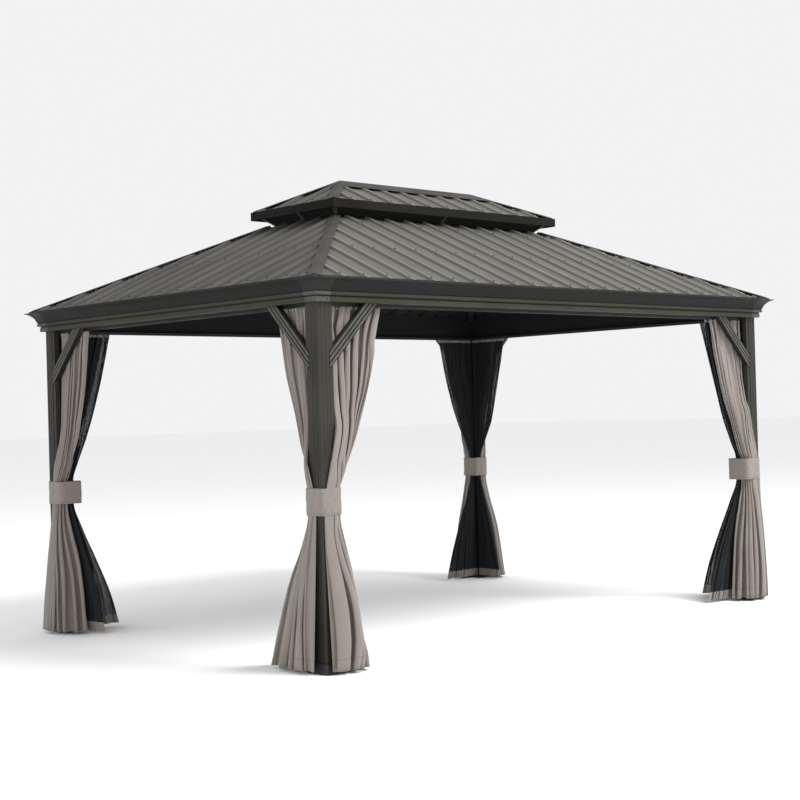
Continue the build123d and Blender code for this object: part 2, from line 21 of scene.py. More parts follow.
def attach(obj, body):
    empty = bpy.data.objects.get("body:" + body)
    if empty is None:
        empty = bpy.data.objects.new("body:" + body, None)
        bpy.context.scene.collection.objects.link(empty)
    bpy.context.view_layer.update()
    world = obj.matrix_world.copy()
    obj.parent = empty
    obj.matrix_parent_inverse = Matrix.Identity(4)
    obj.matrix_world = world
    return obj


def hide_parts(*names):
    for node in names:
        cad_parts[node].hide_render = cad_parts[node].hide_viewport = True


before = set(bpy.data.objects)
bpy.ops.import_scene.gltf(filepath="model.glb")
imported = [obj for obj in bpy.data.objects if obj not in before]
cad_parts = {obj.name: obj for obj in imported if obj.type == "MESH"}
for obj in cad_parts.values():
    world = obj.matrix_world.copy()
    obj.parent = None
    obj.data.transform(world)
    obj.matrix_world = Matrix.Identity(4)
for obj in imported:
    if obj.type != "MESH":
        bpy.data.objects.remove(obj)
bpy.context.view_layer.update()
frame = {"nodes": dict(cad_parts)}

log = logging.getLogger("gazebo")

# What feeds a node's input, colours as hex text, and the function that adds a node to one tree
Source = float | str | tuple[float, float, float] | bpy.types.NodeSocket
Add = Callable[..., bpy.types.NodeSocket]

# Sizes repeated from the CAD source, in metres
POST_X = 2.035
POST_Y = 1.415
ROOF_PITCH = math.radians(24.6)
RIB_PITCH = 0.172
RIB_HEIGHT = 0.015
SHEET_HALF_LENGTH = 2.109
SHEET_HALF_WIDTH = 1.489
SHEET_EDGE_Z = 2.120
TOP_HALF_LENGTH = 1.0428
TOP_HALF_WIDTH = 0.4228
TOP_EDGE_Z = 2.7356
EAVE_BOTTOM = 2.0
RAIL_BOTTOM = 1.983
FABRIC_TRACK = 0.052
NET_TRACK = 0.088
BRACE_START = 0.081
BRACE_FOOT = 1.6388
TIE_BOTTOM = 0.85
TIE_TOP = 1.0
EAVE_FACE_X = 2.06
EAVE_FACE_Y = 1.44

# Quarter turns about the vertical that take the front to the front, back, right and left
QUARTERS = (0, 2, 1, -1)


class Corner(Enum):
    """The gazebo's four posts, by their signs along x and y."""

    FRONT_LEFT = (-1, -1)
    FRONT_RIGHT = (1, -1)
    BACK_LEFT = (-1, 1)
    BACK_RIGHT = (1, 1)

    @property
    def label(self) -> str:
        """The corner's name as the CAD nodes spell it."""
        return self.name.lower()


class Side(Enum):
    """Which of a post's two legs a hanging runs beside."""

    LONG = "long"
    SHORT = "short"


class Grain(Enum):
    """The axis that a roof sheet's ribs are spaced along."""

    ACROSS_X = 0
    ACROSS_Y = 1


def in_row_frame(
    corner: Corner, side: Side, along: np.ndarray, inward: np.ndarray, height: np.ndarray
) -> np.ndarray:
    """Turns a corner's own plan into the row frame by mirroring it from the front left post.

    Args:
        corner: The post that the piece belongs to.
        side: The leg whose direction `along` follows.
        along: Distances from the post's outer corner down that side.
        inward: Distances from the post's outer face towards the middle.
        height: Heights above the ground.

    Returns:
        Points with x, y and z in the last axis.
    """
    across, deep = (along, inward) if side is Side.LONG else (inward, along)
    sign_x, sign_y = corner.value
    across, deep, height = np.broadcast_arrays(across, deep, height)
    return np.stack([sign_x * (POST_X - across), sign_y * (POST_Y - deep), height], axis=-1)


def linear(colour: str) -> tuple[float, float, float, float]:
    """Turns an sRGB hex colour into linear light: ((c + 0.055) / 1.055) ** 2.4 above the toe.

    Args:
        colour: Six hex digits, such as "8c8579".

    Returns:
        Red, green, blue and a full alpha.
    """
    parts = np.array([int(colour[i : i + 2], 16) for i in (0, 2, 4)]) / 255
    parts = np.where(parts <= 0.04045, parts / 12.92, ((parts + 0.055) / 1.055) ** 2.4)
    return (*(float(part) for part in parts), 1.0)


def add_node(
    tree: bpy.types.NodeTree, kind: str, *given: Source, at: dict[str | int, Source] | None = None,
    take: str | int = 0, **settings: str,
) -> bpy.types.NodeSocket | None:
    """Adds a node with its settings, and gives its inputs values or links.

    Args:
        tree: The material's node tree.
        kind: The node's type name after "ShaderNode", with any operation after a full stop.
        given: Sources of the first inputs, in order.
        at: Sources of inputs by name or number.
        take: The output that is handed back.
        settings: The node's own attributes.

    Returns:
        That output, or None where the node has none.
    """
    kind, _, operation = kind.partition(".")
    node = tree.nodes.new(f"ShaderNode{kind}")
    settings |= {"operation": operation} if operation else {}
    for name, value in settings.items():
        setattr(node, name, value)
    for name, source in (dict(enumerate(given)) | (at or {})).items():
        if isinstance(source, bpy.types.NodeSocket):
            tree.links.new(node.inputs[name], source)
        else:
            value = linear(source) if isinstance(source, str) else source
            node.inputs[name].default_value = value
    return node.outputs[take] if node.outputs else None


@dataclass(frozen=True)
class Finish:
    """What every finish has: a name, a colour with a darker variation of it, and a gloss.

    Its methods take `add`, which is add_node for the tree of the material in hand.
    """

    name: str
    colour: str
    variation: str
    roughness: float = 0.5
    specular: float = 0.3

    def material(self) -> bpy.types.Material:
        """The finish as a node material, made once and then shared.

        Returns:
            The material.
        """
        made = bpy.data.materials.get(self.name)
        if made is None:
            made = bpy.data.materials.new(self.name)
            made.use_nodes = True
            made.node_tree.nodes.clear()
            add = partial(add_node, made.node_tree)
            plain = {"Roughness": self.roughness, "Specular IOR Level": self.specular}
            add("OutputMaterial", add("BsdfPrincipled", at=plain | self.dress(add)))
        return made

    def dress(self, add: Add) -> dict[str, Source]:
        """The finish's own patterns, by the shader input that each one feeds."""
        raise NotImplementedError

    def axes(self, add: Add, source: str = "Object") -> list[bpy.types.NodeSocket]:
        """The x, y and z of a texture coordinate, as three separate values."""
        return add("SeparateXYZ", add("TexCoord", take=source)).node.outputs

    def speckle(
        self, add: Add, size_mm: float, detail: float = 3.0,
        stretch: tuple[float, float, float] = (1, 1, 1), source: str = "Object",
    ) -> bpy.types.NodeSocket:
        """A noise pattern whose lumps are about size_mm across.

        Args:
            add: Adds a node to the material.
            size_mm: The size of one lump.
            detail: How many finer octaves it has.
            stretch: A factor for the pattern's frequency on each axis.
            source: The texture coordinates that it reads.

        Returns:
            The noise, 0 to 1.
        """
        place = add("Mapping", at={"Scale": stretch, "Vector": add("TexCoord", take=source)})
        return add("TexNoise", at={"Vector": place, "Scale": 1000 / size_mm, "Detail": detail})

    def layered(
        self, add: Add, base: Source, *layers: tuple[bpy.types.NodeSocket | str | float, ...]
    ) -> bpy.types.NodeSocket:
        """Paints layers over a colour, one by one: colour * (1 - share) + layer * share.

        Args:
            add: Adds a node to the material.
            base: The lowest colour.
            layers: Each layer's share, 0 to 1, its colour, and a factor for the share if any.

        Returns:
            The finished colour.
        """
        colour = base
        for share, layer, *factor in layers:
            share = add("Math.MULTIPLY", share, *factor) if factor else share
            colour = add("Mix", at={0: share, 6: colour, 7: layer}, take=2, data_type="RGBA")
        return colour

    def grain(
        self, add: Add, size_mm: float, depth_mm: float, strength: float
    ) -> bpy.types.NodeSocket:
        """A fine even unevenness of the surface.

        Args:
            add: Adds a node to the material.
            size_mm: The size of one lump.
            depth_mm: Its depth.
            strength: How much of the bump is used.

        Returns:
            The bumped normal.
        """
        height = self.speckle(add, size_mm, 1)
        return add("Bump", at={"Strength": strength, "Distance": depth_mm / 1000, "Height": height})


@dataclass(frozen=True)
class PowderCoat(Finish):
    """Powder coat baked on extruded aluminium: an even satin skin with fine orange peel.

    The eye sees a dull broad highlight, soft clouds of rain dust and slightly paler runs down the
    length. The peel is 1 to 2 mm across on the real part and is drawn at 5 mm so that it shows.
    """

    peel_mm: float = 5
    peel_depth_mm: float = 0.25

    def dress(self, add: Add) -> dict[str, Source]:
        """Clouds of dust in the colour and gloss, and orange peel in the relief."""
        dust = add("MapRange", self.speckle(add, 240, 4), 0.35, 0.7)
        streak = add("MapRange", self.speckle(add, 30, 2, (1, 1, 0.06)), 0.4, 0.75, 0, 0.5)
        share = add("Math.MAXIMUM", dust, streak)
        return {
            "Base Color": self.layered(add, self.colour, (share, self.variation)),
            "Roughness": add("MapRange", dust, 0, 1, self.roughness - 0.06, self.roughness + 0.1),
            "Normal": self.grain(add, self.peel_mm, self.peel_depth_mm, 0.5),
        }


@dataclass(frozen=True)
class BraceCoat(PowderCoat):
    """The same powder coat on the knee braces, with a painted highlight on the three raised ribs.

    A point's place across a brace is (height - foot - distance along the side) / sqrt(2).
    """

    # Colour of the painted highlight on the rib crests
    rib_highlight_colour: str = "5f5e58"
    first_rib: float = 0.012
    rib_gap: float = 0.022

    def dress(self, add: Add) -> dict[str, Source]:
        """Painted highlights on the rib crests between darker valleys, with a fine peel over both.
        """
        axes = self.axes(add)
        sides = [
            add("Math.SUBTRACT", reach, add("Math.ABSOLUTE", axis))
            for axis, reach in zip(axes, (POST_X, POST_Y))
        ]
        along = add("Math.MAXIMUM", *sides)
        rise = add("Math.ADD", axes[2], BRACE_START - BRACE_FOOT)
        across = add("Math.SUBTRACT", rise, along)
        across = add("Math.MULTIPLY", across, math.sqrt(0.5))
        across = add("Math.ADD", across, -self.first_rib)
        off = add("Math.PINGPONG", across, self.rib_gap / 2)
        # Painted highlight on the rib crests, patchy along the braces
        patchy = add("MapRange", self.speckle(add, 60, 3), 0.3, 0.7, 0.55, 1)
        crest = add("MapRange", off, 0.0052, 0.0038)
        crest = add("Math.MULTIPLY", crest, patchy)
        dust = add("MapRange", self.speckle(add, 240, 4), 0.35, 0.7)
        layers = ((dust, self.variation), (crest, self.rib_highlight_colour))
        return {
            "Base Color": self.layered(add, self.colour, *layers),
            "Normal": self.grain(add, self.peel_mm, self.peel_depth_mm, 0.5),
        }


@dataclass(frozen=True)
class EaveCoat(PowderCoat):
    """The same powder coat on the cornice, with painted light and shade on each moulding.

    The flat bands are painted paler and olive as lit faces, the hollow cove and the grooves are
    painted darker as shade, the top lip has a painted highlight on its edge, and the inner web is
    painted dark as the shade under the roof.
    """

    lit_band_colour: str = "39382f"
    painted_shade_colour: str = "191918"
    section_height: float = 0.125
    inner_web: tuple[float, float] = (2.02, 1.40)

    def dress(self, add: Add) -> dict[str, Source]:
        """Paints light and shade on the mouldings by height, and shade on the inner web by plan."""
        *plan, height = self.axes(add)
        rise = add("MapRange", height, EAVE_BOTTOM, EAVE_BOTTOM + self.section_height)
        bands = add("ValToRGB", rise)
        ramp = bands.node.color_ramp
        ramp.interpolation = "CONSTANT"
        # Where each moulding starts up the section, from the bottom, with its painted light and
        # shade:
        # paler lit band, shaded groove, paler lit band, shaded groove, shaded cove and highlighted
        # lip
        stops = (
            (0.0, self.lit_band_colour), (0.216, self.painted_shade_colour), (0.264, self.lit_band_colour),
            (0.424, self.painted_shade_colour), (0.47, self.colour), (0.955, self.variation),
        )
        while len(ramp.elements) < len(stops):
            ramp.elements.new(0.5)
        for element, (position, colour) in zip(ramp.elements, stops):
            element.position, element.color = position, linear(colour)
        # Painted shade: the inner web under the roof is painted dark
        inside = [
            add("Math.LESS_THAN", add("Math.ABSOLUTE", axis), limit)
            for axis, limit in zip(plan, self.inner_web)
        ]
        inner = add("Math.MULTIPLY", *inside)
        clouds = add("MapRange", self.speckle(add, 300, 4), 0.35, 0.75, 0, 0.35)
        layers = ((clouds, self.variation), (inner, self.painted_shade_colour))
        gloss = (self.roughness - 0.05, self.roughness + 0.1)
        return {
            "Base Color": self.layered(add, bands, *layers),
            "Roughness": add("MapRange", clouds, 0, 0.35, *gloss),
            "Normal": self.grain(add, self.peel_mm, self.peel_depth_mm, 0.4),
        }


@dataclass(frozen=True)
class CoilCoatedSteel(Finish):
    """Coil-coated steel roofing, rolled to ribs: a matt paint film with rolled lines.

    The eye sees faint lines between the ribs, a painted highlight on the rib crests, a painted
    shadow line where one sheet laps the next with a painted highlight beside it, dust in long
    clouds down the slope and painted shade on the underside, where the faces point down.
    """

    grain_axis: Grain = Grain.ACROSS_X
    # Colours of the painted underside shade, the painted lap shadow, the painted highlight beside
    # it and the painted crest highlight
    underside_shade: str = "121211"
    lap_shadow: str = "2c2b28"
    lap_highlight: str = "8d8b83"
    crest_highlight: str = "7b7972"
    line_spacing: float = RIB_PITCH / 4
    lap_spacing: float = 3 * RIB_PITCH
    lap_start: float = 0.023

    def dress(self, add: Add) -> dict[str, Source]:
        """Rolled lines, painted crest highlights, painted lap shadows and highlights, dust and
        underside shade.
        """
        across = self.axes(add)[self.grain_axis.value]
        stretch = [0.12, 0.12, 0.12]
        stretch[self.grain_axis.value] = 1
        dust = add("MapRange", self.speckle(add, 55, 4, tuple(stretch)), 0.32, 0.72)
        clouds = add("MapRange", self.speckle(add, 420, 3), 0.35, 0.7, 0, 0.5)
        share = add("Math.MULTIPLY", dust, 0.75)
        share = add("Math.MAXIMUM", share, clouds)
        swell = add("Math.MULTIPLY", across, 2 * math.pi / self.line_spacing)
        line = add("MapRange", add("Math.COSINE", swell), 0.86, 0.97)
        off_rib = add("Math.PINGPONG", across, RIB_PITCH / 2)
        line = add("Math.MULTIPLY", line, add("MapRange", off_rib, 0.024, 0.03))
        # Painted highlight on the rib crests
        crest = add("MapRange", off_rib, 0.02, 0.009, 0, 0.35)
        lap = add("Math.ADD", across, -self.lap_start)
        lap = add("Math.PINGPONG", lap, self.lap_spacing / 2)
        # Painted highlight beside each lap line, which is itself a painted shadow
        edge = add("Math.ABSOLUTE", add("Math.ADD", lap, -0.008))
        edge = add("MapRange", edge, 0.005, 0.002)
        lap = add("MapRange", lap, 0.006, 0.003)
        # Painted shade on the underside, on every face that points down
        under = add("Math.LESS_THAN", self.axes(add, "Normal")[2], 0.0)
        grit = add("Math.MULTIPLY", self.speckle(add, 9, 2), 0.15)
        height = add("Math.ADD", grit, line)
        return {
            "Base Color": self.layered(
                add, self.colour, (share, self.variation), (crest, self.crest_highlight),
                (line, self.variation, 0.8), (edge, self.lap_highlight, 0.5),
                (lap, self.lap_shadow, 0.7), (under, self.underside_shade),
            ),
            "Roughness": add("MapRange", dust, 0, 1, self.roughness - 0.05, self.roughness + 0.12),
            "Normal": add("Bump", at={"Strength": 0.7, "Distance": 0.0016, "Height": height}),
        }


@dataclass(frozen=True)
class WovenPolyester(Finish):
    """Plain woven polyester, heavy curtain weight: matt, slightly hairy, with soft creases.

    Threads are 0.5 mm apart on the real cloth and are drawn 2.5 mm apart so that they show.
    Slubs run down the drop, a paler border and the hem are marked off by stitching, and soft
    creases, puckered across the border, break up the folds.
    """

    thread_mm: float = 2.5
    hem_stitch: float = 0.062
    edge_stitch: float = 0.05
    border_colour: str = "8a827a"
    stitch_colour: str = "433d38"

    def dress(self, add: Add) -> dict[str, Source]:
        """Weave, slubs, stitching and creases, all on the cloth's own UV map in metres."""
        across, drop, _ = self.axes(add, "UV")
        pitch = 2 * math.pi * 1000 / self.thread_mm
        threads = [
            add("Math.SINE", add("Math.MULTIPLY", axis, pitch))
            for axis in (across, drop)
        ]
        weave = add("MapRange", add("Math.MULTIPLY", *threads), -1, 1)
        slub = self.speckle(add, 7, 3, (1, 0.08, 1), "UV")
        slub = add("MapRange", slub, 0.35, 0.7, 0, 0.55)
        cloud = self.speckle(add, 160, 3, (1, 0.4, 1), "UV")
        cloud = add("MapRange", cloud, 0.35, 0.7, 0, 0.6)
        share = add("Math.MAXIMUM", slub, cloud)
        faint_weave = add("Math.MULTIPLY", weave, 0.18)
        share = add("Math.ADD", share, faint_weave)
        seams = []
        for axis, place in ((across, self.edge_stitch), (drop, self.hem_stitch)):
            off = add("Math.ABSOLUTE", add("Math.ADD", axis, -place))
            seams.append(add("MapRange", off, 0.0035, 0.0012))
        seam = add("Math.MAXIMUM", *seams)
        border = add("MapRange", across, self.edge_stitch + 0.002, self.edge_stitch - 0.002)
        crease = self.speckle(add, 34, 3, (1, 0.3, 1), "UV")
        pucker = self.speckle(add, 16, 2, (0.35, 1, 1), "UV")
        pucker = add("Math.MULTIPLY", border, pucker)
        crease = add("Math.ADD", crease, pucker)
        fine = add("Math.MULTIPLY", weave, 0.06)
        height = add("Math.ADD", crease, fine)
        sunk = add("Math.MULTIPLY", seam, 0.25)
        height = add("Math.SUBTRACT", height, sunk)
        return {
            "Base Color": self.layered(
                add, self.colour, (share, self.variation), (seam, self.stitch_colour, 0.3),
                (border, self.border_colour, 0.5),
            ),
            "Sheen Weight": 0.25, "Sheen Roughness": 0.6,
            "Normal": add("Bump", at={"Strength": 0.7, "Distance": 0.006, "Height": height}),
        }


@dataclass(frozen=True)
class KnittedNet(Finish):
    """Knitted polyester insect netting: small open cells between dark filaments, dull.

    Cells are 1.2 mm on the real net and are drawn at 4 mm. `hole` is half an opening's share of
    its cell, so an opening is about 1 mm wide, one layer lets some 7% of the light through and
    gathered layers look solid.
    """

    cell_mm: float = 4.0
    hole: float = 0.13

    def dress(self, add: Add) -> dict[str, Source]:
        """Cell holes in the alpha, and slight bands of denser knit."""
        filaments = []
        for axis in self.axes(add, "UV")[:2]:
            cell = add("Math.MULTIPLY", axis, 1000 / self.cell_mm)
            cell = add("Math.FRACT", cell)
            off = add("Math.ABSOLUTE", add("Math.ADD", cell, -0.5))
            filaments.append(add("Math.GREATER_THAN", off, self.hole))
        bands = add("MapRange", self.speckle(add, 60, 2, (1, 0.2, 1), "UV"), 0.3, 0.7)
        return {
            "Alpha": add("Math.MAXIMUM", *filaments),
            "Base Color": self.layered(add, self.colour, (bands, self.variation)),
        }


@dataclass(frozen=True)
class MouldedNylon(Finish):
    """Injection-moulded nylon, off white: a soft gloss with faint flow marks."""

    def dress(self, add: Add) -> dict[str, Source]:
        """Faint flow marks in the colour and a fine moulded grain."""
        flow = add("MapRange", self.speckle(add, 6, 2), 0.3, 0.7)
        return {
            "Base Color": self.layered(add, self.colour, (flow, self.variation)),
            "Normal": self.grain(add, 1.5, 0.1, 0.3),
        }


@dataclass(frozen=True)
class PaintedScrew(Finish):
    """Zinc-plated roofing screws with a painted head on a rubber washer: dark with bare rims."""

    def dress(self, add: Add) -> dict[str, Source]:
        """Worn spots where the paint has come off the head's rim."""
        patchy = add("MapRange", self.speckle(add, 3, 2), 0.55, 0.7)
        return {
            "Base Color": self.layered(add, self.colour, (patchy, self.variation)),
            "Metallic": 0.4,
            "Normal": self.grain(add, 1.2, 0.1, 0.4),
        }


@dataclass(frozen=True)
class StudioFloor(Finish):
    """A pale matt studio floor with the faintest unevenness."""

    def dress(self, add: Add) -> dict[str, Source]:
        """Very soft clouds in the tone."""
        clouds = self.speckle(add, 900, 2)
        return {"Base Color": self.layered(add, self.colour, (clouds, self.variation))}


FRAME_COAT = PowderCoat("powder_coat_frame", "2e2c26", "252420", 0.5, 0.25)
BRACE_COAT = BraceCoat("powder_coat_brace", "1f1f1d", "191917", 0.45, 0.25)
# Eave: the cove's dark colour is painted shade; the second colour is dust and the painted lip
# highlight
EAVE_COAT = EaveCoat("powder_coat_eave", "1b1b1b", "272724", 0.6, 0.12)
# Corner pieces: the same painted light and shade, with their bands painted paler as lit faces
CORNER_COAT = EaveCoat(
    "powder_coat_corner", "212121", "2e2e2d", 0.55, 0.15, lit_band_colour="4d4d4b"
)
BASE_COAT = PowderCoat("powder_coat_base", "17171a", "212126", 0.4)
FASCIA_COAT = PowderCoat("powder_coat_fascia", "1b1a17", "161513", 0.7, 0.1)
RAFTER_COAT = PowderCoat("powder_coat_rafter", "1b1a18", "151412", 0.6)
RAIL_COAT = PowderCoat("powder_coat_rail", "22211e", "1b1a18", 0.5)
STRUT_COAT = PowderCoat("powder_coat_strut", "454541", "393835", 0.5)
VENT_MESH = PowderCoat("coated_vent_mesh", "131210", "0e0d0c", 0.8)
SHEET_X = CoilCoatedSteel("coil_coated_sheet_x", "5b5954", "494742", 0.6)
# Painted shade: the left and right slopes are a darker copy of the front and back sheets
SHEET_Y_SHADED = CoilCoatedSteel(
    "coil_coated_sheet_y", "3e3c39", "31302d", 0.65, grain_axis=Grain.ACROSS_Y, crest_highlight="55534e"
)
TRIM = PowderCoat("coil_coated_trim", "393733", "2f2d2a", 0.65, 0.2)
CURTAIN = WovenPolyester("woven_polyester_taupe", "7b736c", "6c645d", 0.9)
TIE = WovenPolyester("woven_polyester_tie", "7e766f", "6d665f", 0.9, hem_stitch=0.012)
NET = KnittedNet("knitted_net_black", "121316", "1a1c20", 0.8)
NYLON = MouldedNylon("moulded_nylon_white", "b9b7b0", "a6a39b", 0.4)
SCREW = PaintedScrew("painted_screw", "191917", "4a4944", 0.5)
FLOOR = StudioFloor("studio_floor", "fbfbfa", "f7f7f6", 0.9)


def keep_piece(
    mesh: bpy.types.Mesh, *finishes: Finish, slot: str | None = None
) -> bpy.types.Object:
    """Links a mesh as a piece of the same name, with its finishes, riding on the root body.

    Args:
        mesh: The mesh, in the row frame.
        finishes: Its finishes, in the order of the mesh's material numbers.
        slot: Not used.

    Returns:
        The piece.
    """
    piece = bpy.data.objects.new(mesh.name, mesh)
    bpy.context.scene.collection.objects.link(piece)
    for finish in finishes:
        mesh.materials.append(finish.material())
    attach(piece, "root")
    log.info("%s: %d faces", mesh.name, len(mesh.polygons))
    return piece


def thicken(piece: bpy.types.Object, thickness: float) -> None:
    """Gives a cloth its thickness, half of it to each side."""
    wall = piece.modifiers.new("cloth_thickness", "SOLIDIFY")
    wall.thickness, wall.offset = thickness, 0


def grid_mesh(name: str, points: np.ndarray, uv: np.ndarray, flip: bool) -> bpy.types.Mesh:
    """Makes a mesh of quads from a grid: face (i, j) joins points (i, j) to (i + 1, j + 1).

    Args:
        name: The mesh's name.
        points: The grid's points, rows by columns by 3.
        uv: The grid's own coordinates, rows by columns by 2.
        flip: Whether the faces are wound the other way round.

    Returns:
        The mesh, shaded smooth.
    """
    rows, columns = points.shape[:2]
    number = np.arange(rows * columns).reshape(rows, columns)
    corners = [number[:-1, :-1], number[1:, :-1], number[1:, 1:], number[:-1, 1:]]
    faces = np.stack(corners[::-1] if flip else corners, axis=-1).reshape(-1, 4)
    mesh = bpy.data.meshes.new(name)
    mesh.from_pydata(points.reshape(-1, 3).tolist(), [], faces.tolist())
    layer = mesh.uv_layers.new(name="cloth")
    layer.data.foreach_set("uv", uv.reshape(-1, 2)[faces.ravel()].astype(np.float32).ravel())
    mesh.polygons.foreach_set("use_smooth", np.ones(len(faces), bool))
    mesh.update()
    return mesh


def turned_shape(
    radii: np.ndarray, heights: np.ndarray, sides: int
) -> tuple[np.ndarray, list[list[int]]]:
    """Turns a profile about its own axis: point (i, j) is (r_i cos a_j, r_i sin a_j, h_i).

    Args:
        radii: The profile's radii, or a rows-by-sides array of them.
        heights: The profile's heights, from the bottom.
        sides: How many sides the shape has.

    Returns:
        The points and the faces of the closed shape, with a flat face at each end.
    """
    turn = np.arange(sides) * 2 * math.pi / sides
    spread = np.broadcast_to(radii if radii.ndim == 2 else radii[:, None], (len(heights), sides))
    points = np.stack(
        [spread * np.cos(turn), spread * np.sin(turn), np.repeat(heights[:, None], sides, 1)], -1
    )
    number = np.arange(len(heights) * sides).reshape(len(heights), sides)
    following = np.roll(number, -1, axis=1)
    quads = np.stack([number[:-1], following[:-1], following[1:], number[1:]], -1).reshape(-1, 4)
    faces = quads.tolist() + [number[0, ::-1].tolist(), number[-1].tolist()]
    return points.reshape(-1, 3), faces


def repeated_mesh(
    name: str, shape: tuple[np.ndarray, list[list[int]]], places: np.ndarray, turns: np.ndarray
) -> bpy.types.Mesh:
    """Copies a small shape to many places in one mesh: p' = turn_k p + place_k.

    Args:
        name: The mesh's name.
        shape: The shape's points and faces.
        places: Where the copies go, k by 3.
        turns: Their rotation matrices, k by 3 by 3.

    Returns:
        The mesh.
    """
    points, faces = shape
    copies = np.einsum("kij,nj->kni", turns, points) + places[:, None, :]
    all_faces = [
        [corner + copy * len(points) for corner in face]
        for copy in range(len(places))
        for face in faces
    ]
    mesh = bpy.data.meshes.new(name)
    mesh.from_pydata(copies.reshape(-1, 3).tolist(), [], all_faces)
    mesh.update()
    return mesh


def smooth_between(knots: np.ndarray, values: np.ndarray, at: np.ndarray) -> np.ndarray:
    """Cubic curves through the knots that never overshoot (Fritsch and Butland slopes).

    Each slope is the harmonic mean of its neighbours' slopes, or 0 where they change sign.

    Args:
        knots: Rising knot positions.
        values: Values at the knots, knots by anything.
        at: Where the curves are wanted.

    Returns:
        The values there.
    """
    gap = np.diff(knots)[:, None]
    rise = np.diff(values, axis=0) / gap
    product = rise[:-1] * rise[1:]
    total = rise[:-1] + rise[1:]
    inner = np.where(product > 0, 2 * product / np.where(total == 0, 1, total), 0)
    slope = np.concatenate([rise[:1], inner, rise[-1:]])
    left = np.clip(np.searchsorted(knots, at) - 1, 0, len(knots) - 2)
    width = gap[left]
    share = (at - knots[left])[:, None] / width
    start, end = values[left], values[left + 1]
    return (
        (2 * share**3 - 3 * share**2 + 1) * start
        + (share**3 - 2 * share**2 + share) * width * slope[left]
        + (3 * share**2 - 2 * share**3) * end
        + (share**3 - share**2) * width * slope[left + 1]
    )


def waves(draw: np.random.Generator, at: np.ndarray, lowest: float, count: int) -> np.ndarray:
    """A smooth random line: the sum of `count` sines of rising frequency and falling height.

    Args:
        draw: The seeded random generator.
        at: Where the line is wanted, 0 to 1.
        lowest: The lowest frequency, in waves over 0 to 1.
        count: How many sines are added.

    Returns:
        Values that mostly lie from -1 to 1.
    """
    frequency = lowest * (1 + np.arange(count) * draw.uniform(0.7, 1.2, count))
    phase = draw.uniform(0, 2 * math.pi, count)
    height = draw.uniform(0.6, 1.0, count) / np.sqrt(1 + np.arange(count))
    lines = height * np.sin(2 * math.pi * at[..., None] * frequency + phase)
    return lines.sum(-1) / height.sum()


